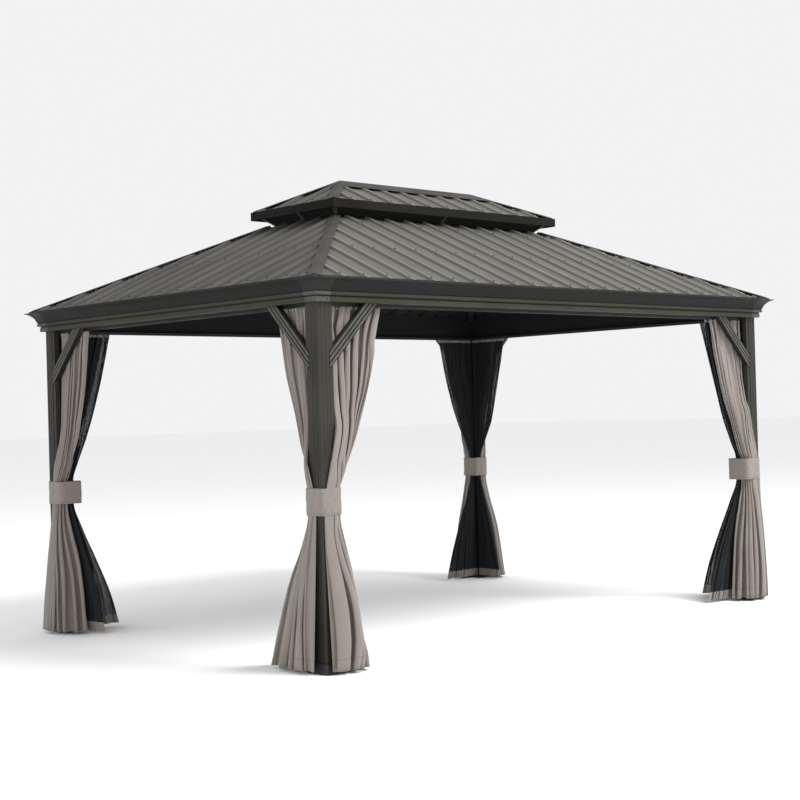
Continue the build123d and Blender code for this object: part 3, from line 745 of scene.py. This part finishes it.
@dataclass
class Hanging:
    """One gathered panel beside a post, hung from a track and tied to the post.

    `guide` has a row for each key height, from the hem up: the height, the near edge's place
    along and inward, the two middle control points (a share of the way to the far edge, and
    inward), the far edge's place along and inward, and the fold depth near and far. Its lengths
    are in millimetres. Between key heights the rows are joined by smooth curves. Beyond it, the
    far edge reaches further by `hem_reach` at the hem and `rail_reach` above `rail_ramp`, and the
    near edge swings round the post by `hem_flare` at the hem.

    `cut_width` is the declared width and `made_width` the length of a modelled row. The folds are
    uneven by `warp` (in all the folds' length), drift down the drop by `drift` and bend by
    `wobble` (in radians), bulge by `sway` (of the room for folds) and lift the hem by `hem_wave`.
    """

    corner: Corner
    side: Side
    label: str
    guide: np.ndarray
    cut_width: float
    made_width: float
    folds: float
    columns: int
    rows: int
    seed: int
    hem_reach: float = 0.0
    rail_reach: float = 0.0
    hem_flare: float = 0.0
    rail_ramp: float = 0.3
    drop: float = 1.96
    largest_swing: float = 2.02
    warp: float = 0.085
    drift: float = 0.6
    wobble: float = 0.34
    sway: float = 0.22
    hem_wave: float = 0.004

    def heights(self) -> np.ndarray:
        """The rows' heights from the top down, closer together about the tie."""
        down = np.linspace(0, 1, self.rows)
        knots = np.array([0, 0.12, 0.42, 0.62, 0.8, 1.0])
        places = np.array([RAIL_BOTTOM - 0.002, 1.83, 1.18, 0.97, 0.72, 0.02])
        return smooth_between(knots, places[:, None], down)[:, 0]

    def swing_for(self, shortening: np.ndarray) -> tuple[np.ndarray, np.ndarray]:
        """How far the cloth's direction must swing to shorten it that much.

        A line whose direction is w sin(t) covers the mean of cos(w sin t), which is J0(w), of
        its own length, and rises by the mean of sin(w sin t) over half a wave.

        Args:
            shortening: The guide's length over the cloth's width.

        Returns:
            The swing w, and the half depth of a fold over the length of its wave.
        """
        swing = np.linspace(0, self.largest_swing, 120)
        turn = np.linspace(0, math.pi, 181)
        covered = np.cos(swing[:, None] * np.sin(turn)).mean(1)
        rise = np.sin(swing[:, None] * np.sin(turn)).mean(1) / 4
        found = np.interp(-shortening, -covered, swing)
        return found, np.interp(found, swing, rise)

    def surface(self) -> tuple[np.ndarray, np.ndarray]:
        """The panel as a grid in the row frame, with its own coordinates in metres.

        Along every row the cloth is a meander about a cubic guide curve: its direction swings as
        w sin(phase), where w is what shortens the cloth to the guide's length. The depth of the
        folds is capped by the room there is, and slow random waves bend them.

        Returns:
            The points, rows by columns by 3, and the UV, rows by columns by 2.
        """
        draw = np.random.default_rng(self.seed)
        height = self.heights()
        key = smooth_between(self.guide[:, 0] / 1000, self.guide[:, 1:], height)
        near, near_in, share_1, in_1, share_2, in_2, far, far_in, slim, deep = key.T / 1000
        share_1, share_2 = share_1 * 1000, share_2 * 1000
        below_tie = np.clip(1 - height / TIE_BOTTOM, 0, 1)
        far = far + self.hem_reach * below_tie
        near = near - self.hem_flare * below_tie
        near_in = near_in - 0.6 * self.hem_flare * below_tie
        far = far + self.rail_reach * np.clip((height - TIE_TOP) / self.rail_ramp, 0, 1)
        control = np.stack(
            [
                np.stack([near, near_in], -1),
                np.stack([near + share_1 * (far - near), in_1], -1),
                np.stack([near + share_2 * (far - near), in_2], -1),
                np.stack([far, far_in], -1),
            ],
            1,
        )
        dense = self.bezier(control, np.linspace(0, 1, 80)[None, :].repeat(self.rows, 0))[0]
        length = np.linalg.norm(np.diff(dense, axis=1), axis=2).sum(1)
        swing, rise = self.swing_for(length / self.made_width)

        cloth = np.linspace(0, 1, self.columns)
        down = np.linspace(0, 1, self.rows)[:, None]
        warp = self.warp * waves(draw, cloth, 1.5, 5)
        drift = self.drift * waves(draw, down + 0.3 * cloth, 0.8, 3)
        phase = 2 * math.pi * self.folds * (cloth + warp) + drift
        angle = swing[:, None] * np.sin(phase) * (1 + 0.1 * waves(draw, cloth, 3, 4))
        angle = angle + self.wobble * waves(draw, cloth + 0.25 * down, 12, 4)
        step = self.made_width / (self.columns - 1)
        along = np.cumsum(np.cos(angle), axis=1) * step
        across = np.cumsum(np.sin(angle), axis=1) * step
        along = (along - along[:, :1]) / (along[:, -1:] - along[:, :1])
        window = int(round(self.columns / self.folds))
        padded = np.pad(across, ((0, 0), (window // 2 + 1, window - window // 2)), mode="reflect")
        total = np.cumsum(padded, axis=1)
        across = across - (total[:, window:] - total[:, :-window])[:, : self.columns] / window

        room = slim[:, None] + (deep - slim)[:, None] * np.clip((along - 0.3) / 0.35, 0, 1)
        natural = (rise * self.made_width / self.folds)[:, None]
        lively = 0.8 + 0.2 * waves(draw, cloth + 0.1 * down, 2.2, 3)
        across = across * np.minimum(1, room / np.maximum(natural, 1e-6)) * lively
        sway = room * self.sway * waves(draw, cloth + 0.35 * down, 1.3, 3)
        sway = sway * np.sin(math.pi * down) ** 0.5
        place, normal = self.bezier(control, np.clip(along, 0, 1))
        place = place + normal * (across + sway)[..., None]
        wave = self.hem_wave * waves(draw, cloth, 3.0, 4)
        level = height[:, None] + wave * np.clip((down - 0.8) / 0.2, 0, 1)
        points = in_row_frame(self.corner, self.side, place[..., 0], place[..., 1], level)
        above_hem = self.drop * (height - height[-1]) / (height[0] - height[-1])
        from_far = self.cut_width * (1 - cloth)
        uv = np.stack(np.broadcast_arrays(from_far, above_hem[:, None]), -1)
        return points, uv

    def bezier(self, control: np.ndarray, at: np.ndarray) -> tuple[np.ndarray, np.ndarray]:
        """Points and outward normals of each row's cubic guide curve.

        B(t) = (1-t)^3 P0 + 3 (1-t)^2 t P1 + 3 (1-t) t^2 P2 + t^3 P3, and its normal is its
        direction turned a quarter turn towards the outside.

        Args:
            control: The rows' control points, rows by 4 by 2.
            at: The curve positions t, rows by columns.

        Returns:
            The points and the unit normals, rows by columns by 2.
        """
        t = at[..., None]
        p0, p1, p2, p3 = (control[:, None, i] for i in range(4))
        point = (1 - t) ** 3 * p0 + 3 * (1 - t) ** 2 * t * p1 + 3 * (1 - t) * t**2 * p2 + t**3 * p3
        way = 3 * (1 - t) ** 2 * (p1 - p0) + 6 * (1 - t) * t * (p2 - p1) + 3 * t**2 * (p3 - p2)
        way = way / np.maximum(np.linalg.norm(way, axis=-1, keepdims=True), 1e-9)
        return point, np.stack([way[..., 1], -way[..., 0]], -1)

    @property
    def flip(self) -> bool:
        """Whether the mirrored corner turns the faces the wrong way round."""
        sign_x, sign_y = self.corner.value
        return (sign_x * sign_y > 0) == (self.side is Side.LONG)

    @property
    def name(self) -> str:
        """The piece's name."""
        return f"{self.label}_{self.corner.label}_{self.side.value}"


CURTAIN_GUIDE = {
    Side.LONG: np.array([
        # height  near edge    middle 1     middle 2    far edge    fold depths
        [18, 12, -42, 0.34, -74, 0.92, -80, 348, 76, 22, 44],
        [200, 10, -36, 0.34, -66, 0.92, -66, 306, 74, 20, 38],
        [450, 8, -24, 0.36, -48, 0.92, -44, 254, 70, 15, 30],
        [700, 7, -11, 0.55, -24, 0.95, -16, 174, 64, 7, 20],
        [850, 7, -8, 1.02, -9.5, 1.05, -5, 126, 61, 2.6, 12],
        [1000, 27, -8, 1.02, -9.5, 1.05, -5, 129, 61, 2.6, 12],
        [1050, 40, -9, 0.9, -11, 1.0, 4, 160, 60, 4, 19],
        [1120, 57, -10, 0.75, -11, 0.98, 16, 198, 60, 5, 22],
        [1180, 74, -11, 0.6, -11, 0.95, 28, 232, 59, 6, 23],
        [1260, 92, -11, 0.45, -10, 0.88, 40, 272, 58, 7, 24],
        [1330, 106, -8, 0.36, -2, 0.8, 46, 304, 58, 9, 24],
        [1420, 113, 22, 0.34, 34, 0.72, 52, 340, 57, 16, 24],
        [1640, 111, 55, 0.33, 55, 0.67, 56, 412, 56, 24, 24],
        [1990, 112, 56, 0.33, 56, 0.67, 56, 506, 56, 24, 24],
    ]),
    Side.SHORT: np.array([
        [18, 46, -42, 0.34, -76, 0.92, -82, 430, 70, 22, 44],
        [200, 45, -36, 0.34, -68, 0.92, -70, 374, 70, 20, 38],
        [450, 45, -24, 0.36, -50, 0.92, -46, 298, 68, 15, 30],
        [700, 45, -11, 0.55, -24, 0.95, -16, 180, 64, 7, 20],
        [850, 45, -6, 1.02, -9.5, 1.05, -5, 126, 61, 2.6, 12],
        [1000, 66, -6, 1.02, -9.5, 1.05, -5, 126, 61, 2.6, 12],
        [1050, 76, -9, 0.85, -11, 1.0, 4, 142, 60, 5, 16],
        [1120, 95, -10, 0.6, -6, 0.95, 20, 166, 60, 7, 19],
        [1180, 112, -2, 0.35, 8, 0.8, 36, 184, 58, 12, 21],
        [1260, 114, 22, 0.34, 30, 0.75, 46, 208, 57, 17, 22],
        [1400, 112, 46, 0.33, 47, 0.7, 53, 250, 58, 20, 22],
        [1640, 111, 55, 0.33, 55, 0.67, 56, 324, 56, 24, 24],
        [1990, 112, 56, 0.33, 56, 0.67, 56, 382, 56, 24, 24],
    ]),
}

# The nets differ by side only in the far edge, which is this column of a guide
FAR_EDGE = 7
LONG_NET = np.array([
    [18, 112, 104, 0.33, 112, 0.67, 120, 462, 126, 6, 15],
    [200, 110, 102, 0.33, 108, 0.67, 116, 406, 122, 6, 14],
    [450, 104, 96, 0.33, 98, 0.67, 102, 300, 108, 6, 13],
    [700, 96, 88, 0.33, 88, 0.67, 88, 186, 90, 5, 11],
    [850, 92, 84, 0.33, 83, 0.67, 82, 134, 82, 5, 9],
    [1000, 92, 84, 0.33, 83, 0.67, 82, 134, 82, 5, 9],
    [1120, 96, 88, 0.33, 87, 0.67, 87, 180, 87, 5, 9],
    [1300, 100, 92, 0.33, 92, 0.67, 92, 264, 92, 6, 11],
    [1640, 102, 93, 0.33, 92, 0.67, 92, 374, 92, 7, 12],
    [1990, 104, 93, 0.33, 92, 0.67, 92, 462, 92, 8, 12],
])
SHORT_NET = LONG_NET.copy()
SHORT_NET[:, FAR_EDGE] = 424, 376, 286, 186, 134, 134, 172, 232, 318, 405
NET_GUIDE = {Side.LONG: LONG_NET, Side.SHORT: SHORT_NET}

# How much further each corner's curtain, and then its net, reaches than its guide says, in metres:
# at the hem, at the rail, and the curtain's flare round the post where it has one
REACH = {
    (Corner.FRONT_LEFT, Side.LONG): ((-0.055, 0.0), (-0.085, 0.0)),
    (Corner.FRONT_LEFT, Side.SHORT): ((0.05, 0.0), (-0.06, 0.0)),
    (Corner.FRONT_RIGHT, Side.LONG): ((-0.09, -0.03), (0.02, 0.015)),
    (Corner.FRONT_RIGHT, Side.SHORT): ((-0.04, 0.0), (0.0, 0.0)),
    (Corner.BACK_LEFT, Side.LONG): ((-0.04, -0.1), (-0.03, -0.02)),
    (Corner.BACK_LEFT, Side.SHORT): ((-0.11, 0.055, 0.055), (0.0, -0.05)),
    (Corner.BACK_RIGHT, Side.LONG): ((-0.07, -0.1), (0.02, 0.025)),
    (Corner.BACK_RIGHT, Side.SHORT): ((-0.13, -0.07), (-0.05, 0.06)),
}


@dataclass(frozen=True)
class PanelKind:
    """What all the curtains, or all the nets, have in common.

    A cut is a panel's declared width, its modelled width, its folds and its columns of points. A
    wall of 0 leaves the cloth one layer, and the hem and the heading have the second finish.
    """

    label: str
    slot: str
    finishes: tuple[Finish, ...]
    guide: dict[Side, np.ndarray]
    cuts: dict[Side, tuple[float, float, float, int]]
    rows: int
    first_seed: int
    track: float
    gliders: int
    wall: float = 0.0
    hem: float = 0.0
    heading: float = 0.0


CURTAINS = PanelKind(
    "curtain", "curtain_fabric", (CURTAIN,), CURTAIN_GUIDE,
    {Side.LONG: (0.95, 1.5, 7.5, 180), Side.SHORT: (0.82, 1.25, 6.5, 150)},
    rows=92, first_seed=0, track=FABRIC_TRACK, gliders=11, wall=0.0012,
)
NETS = PanelKind(
    "net", "net_mesh", (NET, CURTAIN), NET_GUIDE,
    {Side.LONG: (0.75, 1.4, 14, 220), Side.SHORT: (0.65, 1.2, 12.5, 190)},
    rows=64, first_seed=500, track=NET_TRACK, gliders=13, hem=0.065, heading=0.014,
)


@dataclass
class CornerSoftGoods:
    """The curtains, nets, tie and gliders at one post."""

    corner: Corner
    tie_length: float = 0.66
    tie_height: float = 0.15
    tie_half: float = 0.0758
    tie_middle: float = 0.064
    tie_swell: float = 0.0105
    tie_thickness: float = 0.0018
    tie_lap: float = 0.55
    lap_step: float = 0.0022
    tie_crease: float = 0.0019
    tie_sag: float = 0.0025
    first_glider: float = 0.118
    last_glider: float = 0.465

    def build(self) -> None:
        """Makes the corner's pieces."""
        for order, side in enumerate(Side):
            seed = 17 * (1 + list(Corner).index(self.corner)) + order
            for kind, reach in zip((CURTAINS, NETS), REACH[self.corner, side]):
                self.panel(kind, side, seed + kind.first_seed, reach)
        self.tie(seed)
        self.gliders()

    def panel(self, kind: PanelKind, side: Side, seed: int, reach: tuple[float, ...]) -> None:
        """One curtain or net beside the post.

        Args:
            kind: Whether it is a curtain or a net, and how those are made.
            side: The leg that it hangs beside.
            seed: Where its random folds start from.
            reach: How much further it reaches than its guide.
        """
        panel = Hanging(
            self.corner, side, kind.label, kind.guide[side], *kind.cuts[side], kind.rows, seed,
            *reach,
        )
        points, uv = panel.surface()
        mesh = grid_mesh(panel.name, points, uv, panel.flip)
        if kind.hem:
            down = (uv[:-1, :-1, 1] + uv[1:, :-1, 1]) / 2
            in_hem = (down < kind.hem) | (down > panel.drop - kind.heading)
            mesh.polygons.foreach_set("material_index", in_hem.ravel().astype(np.int32))
        piece = keep_piece(mesh, *kind.finishes, slot=kind.slot)
        if kind.wall:
            thicken(piece, kind.wall)
        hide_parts(f"{kind.label}s_{self.corner.label}")

    def tie(self, seed: int) -> None:
        """The cloth band round the post and its curtains, closed with an overlap inside.

        Its plan is the rounded square |x|^6 + |y|^6 = h^6, with small slanting creases.

        Args:
            seed: Where its random creases start from.
        """
        draw = np.random.default_rng(seed + 900)
        swell = 0.0 if self.corner in (Corner.FRONT_LEFT, Corner.BACK_RIGHT) else self.tie_swell
        half, middle = self.tie_half + swell, self.tie_middle + swell
        length = self.tie_length + 8 * swell
        turn = np.linspace(0, 2 * math.pi + self.tie_lap, 200) + math.pi / 4
        down = np.linspace(0, 1, 22)[:, None]
        round_it = (np.abs(np.cos(turn)) ** 6 + np.abs(np.sin(turn)) ** 6) ** (-1 / 6)
        lapped = self.lap_step * np.clip((turn - turn[0] - 2 * math.pi + 0.1) / 0.2, 0, 1)
        slant = waves(draw, turn / (2 * math.pi) + 0.16 * down, 5, 5)
        crossed = waves(draw, turn / (2 * math.pi) - 0.12 * down, 7, 4)
        crease = self.tie_crease * (slant + 0.6 * crossed) * (0.4 + np.sin(math.pi * down))
        radius = half * round_it - 0.001 - lapped + crease
        along = middle + radius * np.cos(turn)
        inward = middle + radius * np.sin(turn)
        sag = self.tie_sag * waves(draw, turn / (2 * math.pi), 1.5, 3)
        height = TIE_TOP - 0.0015 - (TIE_TOP - TIE_BOTTOM - 0.003) * down + sag
        points = in_row_frame(self.corner, Side.LONG, along, inward, height)
        reach = 0.2 + np.linspace(0, length, turn.size)
        uv = np.stack(np.broadcast_arrays(reach, self.tie_height * (1 - down)), -1)
        sign_x, sign_y = self.corner.value
        mesh = grid_mesh(f"tie_{self.corner.label}", points, uv, sign_x * sign_y > 0)
        piece = keep_piece(mesh, TIE, slot="tie_fabric")
        thicken(piece, self.tie_thickness)
        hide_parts("tiebacks")
        f"post_{self.corner.label}"

    def gliders(self) -> None:
        """Moulded gliders that run in the tracks and carry the headings."""
        radii = np.array([0.0012, 0.0034, 0.0042, 0.0034, 0.0014, 0.0014])
        heights = np.array([-0.0165, -0.0155, -0.0115, -0.0075, -0.0065, 0.0035])
        shape = turned_shape(radii, heights, 8)
        places = []
        for side in Side:
            for kind, reach in zip((CURTAINS, NETS), REACH[self.corner, side]):
                far = kind.guide[side][-1, FAR_EDGE] / 1000 + reach[1] - 0.012
                along = np.linspace(self.first_glider, min(far, self.last_glider), kind.gliders)
                places.append(in_row_frame(
                    self.corner, side, along, np.array(kind.track), np.array(RAIL_BOTTOM)
                ))
        where = np.concatenate(places)
        mesh = repeated_mesh(
            f"gliders_{self.corner.label}", shape, where, np.tile(np.eye(3), (len(where), 1, 1))
        )
        keep_piece(mesh, NYLON)


@dataclass
class RoofScrews:
    """Roofing screws on the ribs' crests, in rows across each slope."""

    rows: tuple[float, ...]
    washer: float = 0.006
    head: float = 0.004
    margin: float = 0.045

    def shape(self) -> tuple[np.ndarray, list[list[int]]]:
        """A rubber washer with a hexagon head: the head's radius is r cos(30) / cos(a)."""
        sides = 12
        turn = np.arange(sides) * 2 * math.pi / sides
        hexagon = math.cos(math.pi / 6) / np.cos((turn % (math.pi / 3)) - math.pi / 6)
        circle = np.ones(sides)
        profile = np.stack([
            self.washer * circle, self.washer * circle, self.head * 1.15 * circle,
            self.head * hexagon, self.head * hexagon, self.head * 0.7 * hexagon,
        ])
        heights = np.array([-0.0006, 0.0012, 0.0018, 0.002, 0.0042, 0.0046])
        return turned_shape(profile, heights, sides)

    def on_slope(
        self, half_span: float, half_depth: float, edge_z: float, turn: float
    ) -> tuple[np.ndarray, np.ndarray]:
        """Screw places on a slope's rib crests, as for the front slope and then turned.

        A place is (x, -H + d cos p - h sin p, Z + d sin p + h cos p) for a rib x, a distance d
        up the slope and the rib's height h.

        Args:
            half_span: Half the slope's length at the eave.
            half_depth: The eave edge's distance from the middle.
            edge_z: The eave edge's height.
            turn: The slope's turn about the vertical from the front slope.

        Returns:
            The places and their rotation matrices.
        """
        cosine, sine = math.cos(ROOF_PITCH), math.sin(ROOF_PITCH)
        count = int(half_span // RIB_PITCH)
        rib = np.arange(-count, count + 1) * RIB_PITCH
        across, up = (grid.ravel() for grid in np.meshgrid(rib, np.array(self.rows)))
        kept = np.abs(across) < half_span - up * cosine - self.margin
        across, up = across[kept], up[kept]
        places = np.stack([
            across, -half_depth + up * cosine - RIB_HEIGHT * sine,
            edge_z + up * sine + RIB_HEIGHT * cosine,
        ], -1)
        about = np.array(Matrix.Rotation(turn, 3, "Z"))
        lean = np.array(Matrix.Rotation(ROOF_PITCH, 3, "X"))
        return places @ about.T, np.tile(about @ lean, (len(places), 1, 1))

    def build(self, name: str, half_length: float, half_width: float, edge_z: float) -> None:
        """Makes the screws of one roof tier.

        Args:
            name: The piece's name.
            half_length: Half the tier's sheet length along x.
            half_width: Half its width along y.
            edge_z: The height of its sheets' lower edge.
        """
        halves = ((half_length, half_width), (half_width, half_length))
        found = [
            self.on_slope(*halves[quarter % 2], edge_z, quarter * math.pi / 2)
            for quarter in QUARTERS
        ]
        places, turns = (np.concatenate(part) for part in zip(*found))
        keep_piece(repeated_mesh(name, self.shape(), places, turns), SCREW)


@dataclass
class RibClosures:
    """Folded strips that close the ends of the ribs along the edge of one roof tier."""

    half_length: float
    half_width: float
    bottom: float
    height: float
    wall: float = 0.002

    def build(self, name: str, finish: Finish) -> None:
        """Carries the strip's section round the tier: corner k is (sx (L + out), sy (W + out)).

        Args:
            name: The piece's name.
            finish: Its finish.
        """
        out = np.array([0.0, self.wall, self.wall, 0.0006, 0.0])
        level = self.bottom + np.array([0.0, 0.0, self.height - 0.001, self.height, self.height])
        sign = np.array([(-1, -1), (1, -1), (1, 1), (-1, 1)])
        half = np.array([self.half_length, self.half_width])
        plan = sign[:, None, :] * (half + out[:, None])
        points = np.concatenate([plan, np.broadcast_to(level[:, None], (4, 5, 1))], -1)
        number = np.arange(20).reshape(4, 5)
        onward, beside = np.roll(number, -1, 0), np.roll(number, -1, 1)
        faces = np.stack([number, onward, np.roll(onward, -1, 1), beside], -1).reshape(-1, 4)
        mesh = bpy.data.meshes.new(name)
        mesh.from_pydata(points.reshape(-1, 3).tolist(), [], faces.tolist())
        mesh.update()
        keep_piece(mesh, finish)


@dataclass
class FrameScrews:
    """Small pan-head screws on the eave's outer face, beside its corner pieces and mid seams.

    `from_corner` are their distances from the face's ends and `from_seam` from its middle.
    """

    radius: float = 0.0038
    from_corner: tuple[float, float] = (0.115, 0.08)
    from_seam: float = 0.02
    above_edge: float = 0.0135

    def build(self) -> None:
        """Makes every screw on the eave's outer face."""
        radii = self.radius * np.array([1.0, 1.0, 0.8, 0.35, 0.3])
        shape = turned_shape(radii, np.array([-0.0004, 0.001, 0.0022, 0.0026, 0.0018]), 10)
        away_y = np.array(Matrix.Rotation(math.pi / 2, 3, "X"))
        places, turns = [], []
        outer, inner = self.from_corner
        for quarter in QUARTERS:
            face, half = ((EAVE_FACE_Y, EAVE_FACE_X), (EAVE_FACE_X, EAVE_FACE_Y))[quarter % 2]
            about = np.array(Matrix.Rotation(quarter * math.pi / 2, 3, "Z"))
            left = [-half + outer, -half + inner, -self.from_seam]
            across = np.array(left + [-place for place in left[::-1]])
            level = np.full(6, EAVE_BOTTOM + self.above_edge)
            places.append(np.stack([across, np.full(6, -face), level], -1) @ about.T)
            turns.append(np.tile(about @ away_y, (6, 1, 1)))
        mesh = repeated_mesh("eave_screws", shape, np.concatenate(places), np.concatenate(turns))
        keep_piece(mesh, SCREW)


@dataclass
class CadFinishes:
    """The finishes of the CAD nodes that show as they are."""

    by_start: tuple[tuple[str, Finish], ...] = (
        ("post_", FRAME_COAT), ("braces_", BRACE_COAT), ("base_", BASE_COAT),
        ("eave_corners", CORNER_COAT), ("eave_", EAVE_COAT),
        ("roof_front", SHEET_X), ("roof_back", SHEET_X), ("roof_", SHEET_Y_SHADED),
        ("top_roof_front", SHEET_X), ("top_roof_back", SHEET_X), ("top_roof_", SHEET_Y_SHADED),
        ("hip_caps", TRIM), ("top_caps", TRIM), ("top_fascia", FASCIA_COAT),
        ("vent_struts", STRUT_COAT), ("vent_screen", VENT_MESH), ("curtain_rails", RAIL_COAT),
        ("", RAFTER_COAT),
    )

    def dress(self, nodes: dict[str, bpy.types.Object]) -> None:
        """Gives each node the first finish whose start its name has.

        Args:
            nodes: The CAD nodes by name.
        """
        for name, node in nodes.items():
            finish = next(finish for start, finish in self.by_start if name.startswith(start))
            node.data.materials.clear()
            node.data.materials.append(finish.material())
            log.info("%s: %s", name, finish.name)


@dataclass
class Studio:
    """The pale floor, the soft lights and the camera of the photograph's view."""

    eye: tuple[float, float, float] = (-7.3412, -7.7477, 1.3875)
    yaw: float = math.radians(42.946)
    pitch: float = math.radians(0.499)
    roll: float = math.radians(-1.629)
    lens: float = 69.47
    sky: str = "f8f8f9"
    sky_strength: float = 0.95

    def build(self) -> None:
        """Makes the floor, the world, the lights and the camera."""
        self.floor()
        self.world()
        self.area("key_light", (3.0, -8.5, 11.0), (0, 0, 1.5), 6.0, 1900)
        self.area("fill_light", (-11.0, -5.0, 2.0), (0, 0, 1.0), 5.0, 300)
        self.camera()

    def floor(self) -> None:
        """A large floor, flat at the ground."""
        size = 120.0
        mesh = bpy.data.meshes.new("studio_floor")
        corners = [(-size, -size, 0), (size, -size, 0), (size, size, 0), (-size, size, 0)]
        mesh.from_pydata(corners, [], [(0, 1, 2, 3)])
        floor = bpy.data.objects.new("studio_floor", mesh)
        bpy.context.scene.collection.objects.link(floor)
        mesh.materials.append(FLOOR.material())

    def world(self) -> None:
        """An even pale sky, as a light tent gives."""
        world = bpy.data.worlds.new("studio_world")
        world.use_nodes = True
        back = world.node_tree.nodes["Background"]
        back.inputs["Color"].default_value = linear(self.sky)
        back.inputs["Strength"].default_value = self.sky_strength
        bpy.context.scene.world = world

    def area(
        self, name: str, place: tuple[float, float, float], target: tuple[float, float, float],
        size: float, power: float,
    ) -> None:
        """A square soft light that faces a target.

        Args:
            name: The light's name.
            place: Where it stands.
            target: The point that it faces.
            size: The length of its side.
            power: Its power in watts.
        """
        data = bpy.data.lights.new(name, "AREA")
        data.size, data.energy = size, power
        light = bpy.data.objects.new(name, data)
        light.location = place
        away = light.location - Matrix.Translation(target).to_translation()
        light.rotation_euler = away.to_track_quat("Z", "Y").to_euler()
        bpy.context.scene.collection.objects.link(light)

    def camera(self) -> None:
        """The camera, from its measured yaw, pitch and roll."""
        ahead = np.array([
            math.sin(self.yaw) * math.cos(self.pitch), math.cos(self.yaw) * math.cos(self.pitch),
            math.sin(self.pitch),
        ])
        level = np.array([math.cos(self.yaw), -math.sin(self.yaw), 0.0])
        up = np.cross(level, ahead)
        cosine, sine = math.cos(self.roll), math.sin(self.roll)
        axes = np.stack([cosine * level + sine * up, cosine * up - sine * level, -ahead], axis=1)
        data = bpy.data.cameras.new("camera")
        data.lens, data.sensor_width = self.lens, 36.0
        camera = bpy.data.objects.new("camera", data)
        camera.matrix_world = Matrix.Translation(self.eye) @ Matrix(axes.tolist()).to_4x4()
        bpy.context.scene.collection.objects.link(camera)
        bpy.context.scene.camera = camera


def main() -> None:
    """Dresses the CAD nodes, then builds the soft goods, screws, rib closures and studio."""
    logging.basicConfig(level=logging.INFO, format="%(name)s: %(message)s")
    CadFinishes().dress(frame["nodes"])
    for corner in Corner:
        CornerSoftGoods(corner).build()
    # Rows of screws, in metres up the slope
    main_rows, top_rows = (0.055, 0.585, 1.12), (0.05, 0.33)
    RoofScrews(main_rows).build(
        "roof_screws", SHEET_HALF_LENGTH, SHEET_HALF_WIDTH, SHEET_EDGE_Z
    )
    RoofScrews(top_rows).build("top_roof_screws", TOP_HALF_LENGTH, TOP_HALF_WIDTH, TOP_EDGE_Z)
    eave_strip = RibClosures(half_length=2.1093, half_width=1.4893, bottom=2.1255, height=0.0105)
    eave_strip.build("eave_rib_closure", TRIM)
    top_strip = RibClosures(half_length=1.0431, half_width=0.4231, bottom=2.7358, height=0.0155)
    top_strip.build("top_rib_closure", FASCIA_COAT)
    FrameScrews().build()
    Studio().build()
    bpy.context.scene.view_settings.view_transform = "Standard"


if __name__ == "__main__":
    main()
